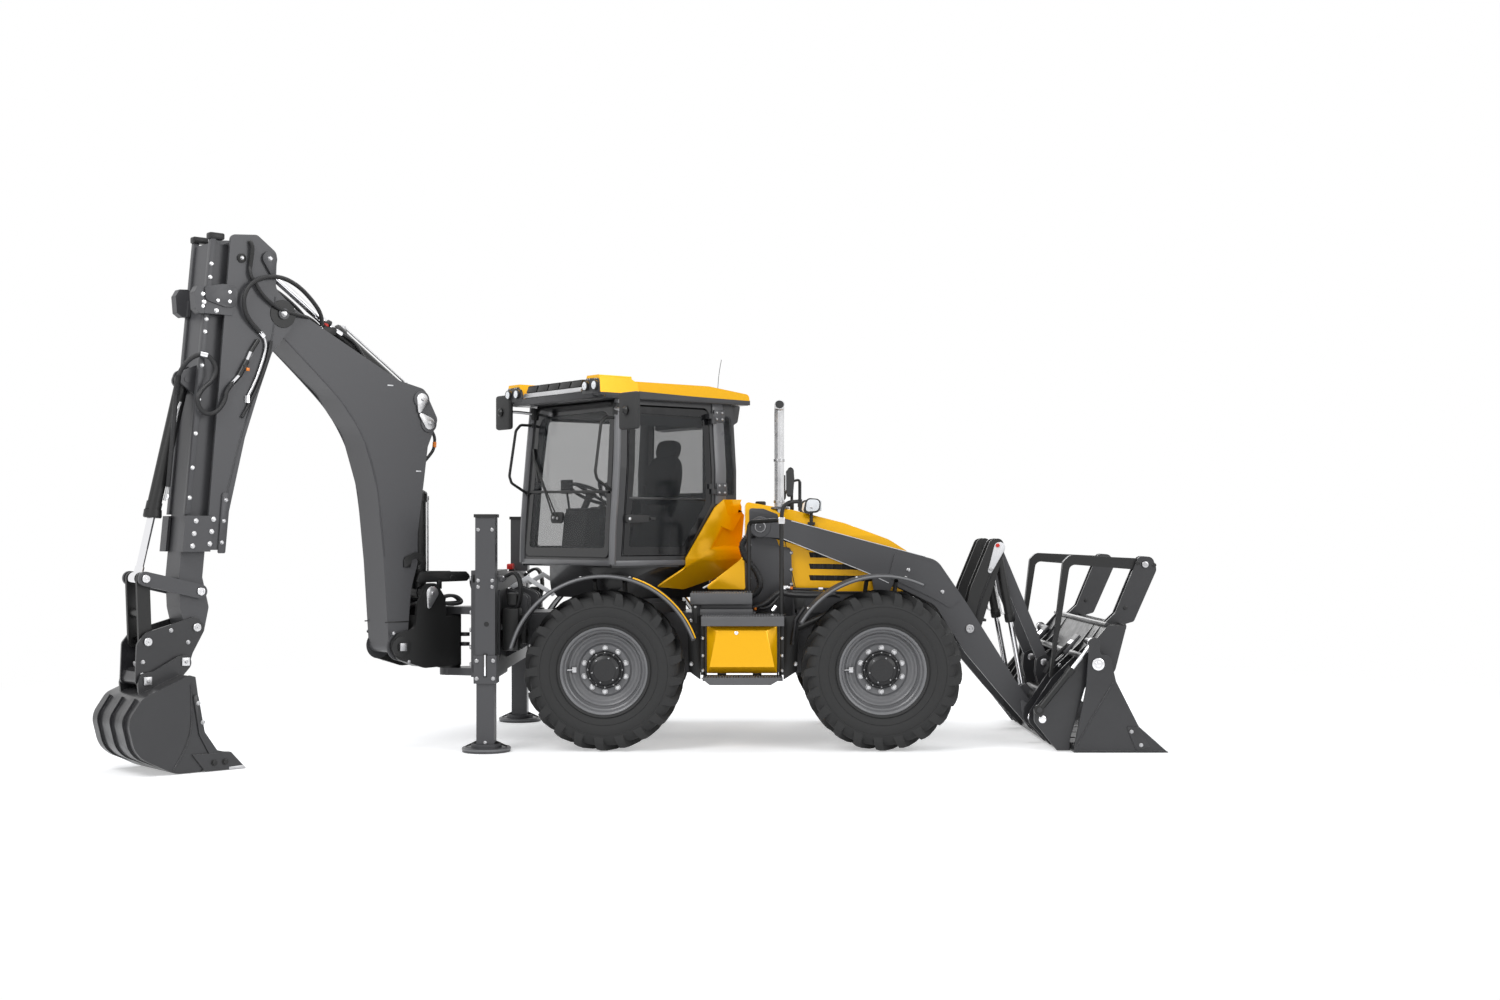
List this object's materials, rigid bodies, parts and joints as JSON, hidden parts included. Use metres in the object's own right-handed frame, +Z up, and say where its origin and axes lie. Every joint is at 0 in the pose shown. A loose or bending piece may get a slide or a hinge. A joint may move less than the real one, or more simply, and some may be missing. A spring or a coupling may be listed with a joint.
{
  "type": "backhoe loader",
  "caption": "Wheeled backhoe loader with a turning cab, side-shift backhoe, four steered wheels, stabilizer legs and a clamshell bucket with folding forks.",
  "frame": {"origin": "middle of the machine's box at ground level", "axes": "+X toward the loader bucket, +Y to the left, +Z up"},
  "size_m": [8.0849, 3.9506, 3.9483],
  "materials": {
    "anthracite_paint": "satin",
    "yellow_paint": "gloss",
    "black_paint": "satin",
    "rim_paint": "satin",
    "tyre_rubber": "matte",
    "chromed_rod": "polished",
    "cast_block": "rough",
    "trim_plastic": "matte",
    "seat_cover": "matte"
  },
  "bodies": {
    "chassis": {"chassis_frame": "anthracite_paint", "loader_towers": "anthracite_paint", "engine_block": "cast_block", "hood": "yellow_paint", "side_panels": "anthracite_paint", "steps": "anthracite_paint", "side_tanks": "yellow_paint", "exhaust": "black_paint", "handrails": "black_paint", "work_lamps": "trim_plastic", "rear_frame": "anthracite_paint", "axles": "black_paint", "fenders": "trim_plastic"},
    "cab": {"cab_frame": "anthracite_paint", "cab_roof": "yellow_paint", "cab_cowl": "yellow_paint", "cab_seat": "seat_cover", "cab_console": "trim_plastic"},
    "cab_door": {"cab_door": "anthracite_paint"},
    "knuckle_front_right": {"knuckle_front_right": "black_paint"},
    "wheel_front_right": {"tyre_front_right": "tyre_rubber", "rim_front_right": "rim_paint"},
    "knuckle_front_left": {"knuckle_front_left": "black_paint"},
    "wheel_front_left": {"tyre_front_left": "tyre_rubber", "rim_front_left": "rim_paint"},
    "knuckle_rear_right": {"knuckle_rear_right": "black_paint"},
    "wheel_rear_right": {"tyre_rear_right": "tyre_rubber", "rim_rear_right": "rim_paint"},
    "knuckle_rear_left": {"knuckle_rear_left": "black_paint"},
    "wheel_rear_left": {"tyre_rear_left": "tyre_rubber", "rim_rear_left": "rim_paint"},
    "stabilizer_left": {"stabilizer_left": "anthracite_paint"},
    "stabilizer_right": {"stabilizer_right": "anthracite_paint"},
    "carriage": {"side_carriage": "anthracite_paint"},
    "kingpost": {"kingpost": "anthracite_paint"},
    "boom": {"boom": "anthracite_paint"},
    "dipper": {"dipper": "anthracite_paint"},
    "dipper_beam": {"dipper_beam": "anthracite_paint"},
    "bucket_rocker": {"bucket_rocker": "anthracite_paint"},
    "bucket_tie": {"bucket_tie": "anthracite_paint"},
    "hoe_tool": {"coupler": "black_paint", "hoe_bucket": "black_paint"},
    "boom_ram_barrel": {"boom_ram_barrel": "anthracite_paint"},
    "boom_ram_rod": {"boom_ram_rod": "chromed_rod"},
    "dipper_ram_barrel": {"dipper_ram_barrel": "anthracite_paint"},
    "dipper_ram_rod": {"dipper_ram_rod": "chromed_rod"},
    "bucket_ram_barrel": {"bucket_ram_barrel": "anthracite_paint"},
    "bucket_ram_rod": {"bucket_ram_rod": "chromed_rod"},
    "loader_arms": {"loader_arms": "anthracite_paint"},
    "lift_ram_barrels": {"lift_ram_barrels": "anthracite_paint"},
    "lift_ram_rods": {"lift_ram_rods": "chromed_rod"},
    "tilt_ram_barrels": {"tilt_ram_barrels": "anthracite_paint"},
    "tilt_ram_rods": {"tilt_ram_rods": "chromed_rod"},
    "clam_ram_barrels": {"clam_ram_barrels": "anthracite_paint"},
    "clam_ram_rods": {"clam_ram_rods": "chromed_rod"},
    "tilt_levers": {"tilt_levers": "black_paint"},
    "tilt_links": {"tilt_links": "anthracite_paint"},
    "loader_bucket": {"loader_bucket": "black_paint"},
    "clam": {"clam": "black_paint"},
    "forks": {"forks": "black_paint"}
  },
  "joints": [
    {"name": "steer_front_right", "type": "hinge", "parent": "chassis", "child": "knuckle_front_right", "pos_m": [1.80446, -0.17456, 0.635], "axis": [0, 0, 1], "range_deg": [-25, 25]},
    {"name": "wheel_spin_front_right", "type": "hinge", "parent": "knuckle_front_right", "child": "wheel_front_right", "pos_m": [1.80446, -0.27456, 0.635], "axis": [0, 1, 0], "continuous": true},
    {"name": "steer_front_left", "type": "hinge", "parent": "chassis", "child": "knuckle_front_left", "pos_m": [1.80446, 1.54544, 0.635], "axis": [0, 0, 1], "range_deg": [-25, 25]},
    {"name": "wheel_spin_front_left", "type": "hinge", "parent": "knuckle_front_left", "child": "wheel_front_left", "pos_m": [1.80446, 1.64544, 0.635], "axis": [0, 1, 0], "continuous": true},
    {"name": "steer_rear_right", "type": "hinge", "parent": "chassis", "child": "knuckle_rear_right", "pos_m": [-0.39554, -0.17456, 0.635], "axis": [0, 0, 1], "range_deg": [-25, 25]},
    {"name": "wheel_spin_rear_right", "type": "hinge", "parent": "knuckle_rear_right", "child": "wheel_rear_right", "pos_m": [-0.39554, -0.27456, 0.635], "axis": [0, 1, 0], "continuous": true},
    {"name": "steer_rear_left", "type": "hinge", "parent": "chassis", "child": "knuckle_rear_left", "pos_m": [-0.39554, 1.54544, 0.635], "axis": [0, 0, 1], "range_deg": [-25, 25]},
    {"name": "wheel_spin_rear_left", "type": "hinge", "parent": "knuckle_rear_left", "child": "wheel_rear_left", "pos_m": [-0.39554, 1.64544, 0.635], "axis": [0, 1, 0], "continuous": true},
    {"name": "cab_turn", "type": "hinge", "parent": "chassis", "child": "cab", "pos_m": [-0.24554, 0.68544, 1.18], "axis": [0, 0, 1], "range_deg": [-76, 142]},
    {"name": "cab_door_swing", "type": "hinge", "parent": "cab", "child": "cab_door", "pos_m": [0.4531, 0.33535, 2.3], "axis": [0, 0, 1], "range_deg": [0, 60]},
    {"name": "stabilizer_left_lift", "type": "slide", "parent": "chassis", "child": "stabilizer_left", "axis": [0, 0, 1], "range_m": [0, 0.45]},
    {"name": "stabilizer_right_lift", "type": "slide", "parent": "chassis", "child": "stabilizer_right", "axis": [0, 0, 1], "range_m": [0, 0.45]},
    {"name": "side_shift", "type": "slide", "parent": "chassis", "child": "carriage", "axis": [0, 1, 0], "range_m": [0, 1.04]},
    {"name": "slew", "type": "hinge", "parent": "carriage", "child": "kingpost", "pos_m": [-1.71554, 0.16544, 0.8], "axis": [0, 0, 1], "range_deg": [-132, 48]},
    {"name": "boom_lift", "type": "hinge", "parent": "kingpost", "child": "boom", "pos_m": [-2.13913, -0.21596, 0.82], "axis": [0.6691, -0.7431, 0], "range_deg": [0, 92]},
    {"name": "dipper_swing", "type": "hinge", "parent": "boom", "child": "dipper", "pos_m": [-2.89862, -0.89981, 3.376], "axis": [0.6691, -0.7431, 0], "range_deg": [-110, 0]},
    {"name": "dipper_extend", "type": "slide", "parent": "dipper", "child": "dipper_beam", "axis": [-0.0722, -0.065, -0.9953], "range_m": [0, 1]},
    {"name": "bucket_curl", "type": "hinge", "parent": "dipper_beam", "child": "hoe_tool", "pos_m": [-3.39207, -1.34412, 1.035], "axis": [0.6691, -0.7431, 0], "range_deg": [-38, 50]},
    {"name": "boom_ram_turn", "type": "hinge", "parent": "kingpost", "child": "boom_ram_barrel", "pos_m": [-1.93105, -0.0286, 1.24], "axis": [0.6691, -0.7431, 0], "range_deg": [-0.5, 96.02]},
    {"name": "boom_ram_stroke", "type": "slide", "parent": "boom_ram_barrel", "child": "boom_ram_rod", "axis": [-0.0022, -0.002, 1], "range_m": [-0.005, 0.7238]},
    {"name": "dipper_ram_turn", "type": "hinge", "parent": "boom", "child": "dipper_ram_barrel", "pos_m": [-1.98456, -0.07678, 2.795], "axis": [0.6691, -0.7431, 0], "range_deg": [-0.5, 2.5]},
    {"name": "dipper_ram_stroke", "type": "slide", "parent": "dipper_ram_barrel", "child": "dipper_ram_rod", "axis": [-0.6, -0.5402, 0.5901], "range_m": [-0.6886, 0.005]},
    {"name": "rocker_turn", "type": "hinge", "parent": "dipper_beam", "child": "bucket_rocker", "pos_m": [-3.37052, -1.32471, 1.297], "axis": [0.6691, -0.7431, 0], "range_deg": [-34.63, 45.41]},
    {"name": "tie_turn", "type": "hinge", "parent": "bucket_rocker", "child": "bucket_tie", "pos_m": [-3.67893, -1.6024, 1.396], "axis": [0.6691, -0.7431, 0], "range_deg": [-23.82, 18.23]},
    {"name": "bucket_ram_turn", "type": "hinge", "parent": "dipper_beam", "child": "bucket_ram_barrel", "pos_m": [-3.42477, -1.37356, 2.85], "axis": [0.6691, -0.7431, 0], "range_deg": [-1.67, 1.39]},
    {"name": "bucket_ram_stroke", "type": "slide", "parent": "bucket_ram_barrel", "child": "bucket_ram_rod", "axis": [-0.1702, -0.1532, -0.9734], "range_m": [-0.2395, 0.3136]},
    {"name": "loader_lift", "type": "hinge", "parent": "chassis", "child": "loader_arms", "pos_m": [0.84746, 0.68544, 1.773], "axis": [0, -1, 0], "range_deg": [0, 70]},
    {"name": "lift_ram_turn", "type": "hinge", "parent": "chassis", "child": "lift_ram_barrels", "pos_m": [0.90446, 0.68544, 0.82], "axis": [0, -1, 0], "range_deg": [-0.5, 41.64]},
    {"name": "lift_ram_stroke", "type": "slide", "parent": "lift_ram_barrels", "child": "lift_ram_rods", "axis": [0.9112, 0, 0.412], "range_m": [-0.005, 0.8523]},
    {"name": "loader_tilt", "type": "hinge", "parent": "loader_arms", "child": "loader_bucket", "pos_m": [3.07346, 0.68544, 0.215], "axis": [0, -1, 0], "range_deg": [-105, 25]},
    {"name": "tilt_lever_turn", "type": "hinge", "parent": "loader_arms", "child": "tilt_levers", "pos_m": [2.57146, 0.68544, 0.937], "axis": [0, -1, 0], "range_deg": [-66.06, 16.11]},
    {"name": "tilt_link_turn", "type": "hinge", "parent": "tilt_levers", "child": "tilt_links", "pos_m": [2.81646, 0.68544, 1.609], "axis": [0, -1, 0], "range_deg": [-12.93, 52.68]},
    {"name": "tilt_ram_turn", "type": "hinge", "parent": "tilt_levers", "child": "tilt_ram_barrels", "pos_m": [2.81646, 0.68544, 1.609], "axis": [0, -1, 0], "range_deg": [-7.91, 31.63]},
    {"name": "tilt_ram_stroke", "type": "slide", "parent": "tilt_ram_barrels", "child": "tilt_ram_rods", "axis": [0.1826, 0, -0.9832], "range_m": [-0.4725, 0.1163]},
    {"name": "clam_open", "type": "hinge", "parent": "loader_bucket", "child": "clam", "pos_m": [3.48846, 0.68544, 0.694], "axis": [0, -1, 0], "range_deg": [0, 58]},
    {"name": "clam_ram_turn", "type": "hinge", "parent": "loader_bucket", "child": "clam_ram_barrels", "pos_m": [3.03446, 0.68544, 0.33], "axis": [0, -1, 0], "range_deg": [-0.5, 4.17]},
    {"name": "clam_ram_stroke", "type": "slide", "parent": "clam_ram_barrels", "child": "clam_ram_rods", "axis": [0.6261, 0, 0.7797], "range_m": [-0.1621, 0.005]},
    {"name": "fork_flip", "type": "hinge", "parent": "loader_bucket", "child": "forks", "pos_m": [3.94446, 0.68544, 1.47], "axis": [0, -1, 0], "range_deg": [-255, 0]}
  ],
  "couplings": [
    {"joint": "steer_front_left", "follows": "steer_front_right", "ratio": 1},
    {"joint": "steer_rear_left", "follows": "steer_rear_right", "ratio": 1},
    {"joint": "boom_ram_turn", "follows": "boom_lift", "ratio": 1.0383},
    {"joint": "boom_ram_stroke", "follows": "boom_lift", "m_per_rad": 0.44765},
    {"joint": "dipper_ram_turn", "follows": "dipper_swing", "ratio": -0.01822},
    {"joint": "dipper_ram_stroke", "follows": "dipper_swing", "m_per_rad": 0.35604},
    {"joint": "rocker_turn", "follows": "bucket_curl", "ratio": 0.89821},
    {"joint": "tie_turn", "follows": "bucket_curl", "ratio": -0.46648},
    {"joint": "bucket_ram_turn", "follows": "bucket_curl", "ratio": -0.02332},
    {"joint": "bucket_ram_stroke", "follows": "bucket_curl", "m_per_rad": 0.35359},
    {"joint": "lift_ram_turn", "follows": "loader_lift", "ratio": 0.58769},
    {"joint": "lift_ram_stroke", "follows": "loader_lift", "m_per_rad": 0.69352},
    {"joint": "tilt_lever_turn", "follows": "loader_tilt", "ratio": 0.62435},
    {"joint": "tilt_link_turn", "follows": "loader_tilt", "ratio": -0.49699},
    {"joint": "tilt_ram_turn", "follows": "loader_tilt", "ratio": -0.29644},
    {"joint": "tilt_ram_stroke", "follows": "loader_tilt", "m_per_rad": 0.25511},
    {"joint": "clam_ram_turn", "follows": "clam_open", "ratio": 0.0632},
    {"joint": "clam_ram_stroke", "follows": "clam_open", "m_per_rad": -0.15523}
  ]
}
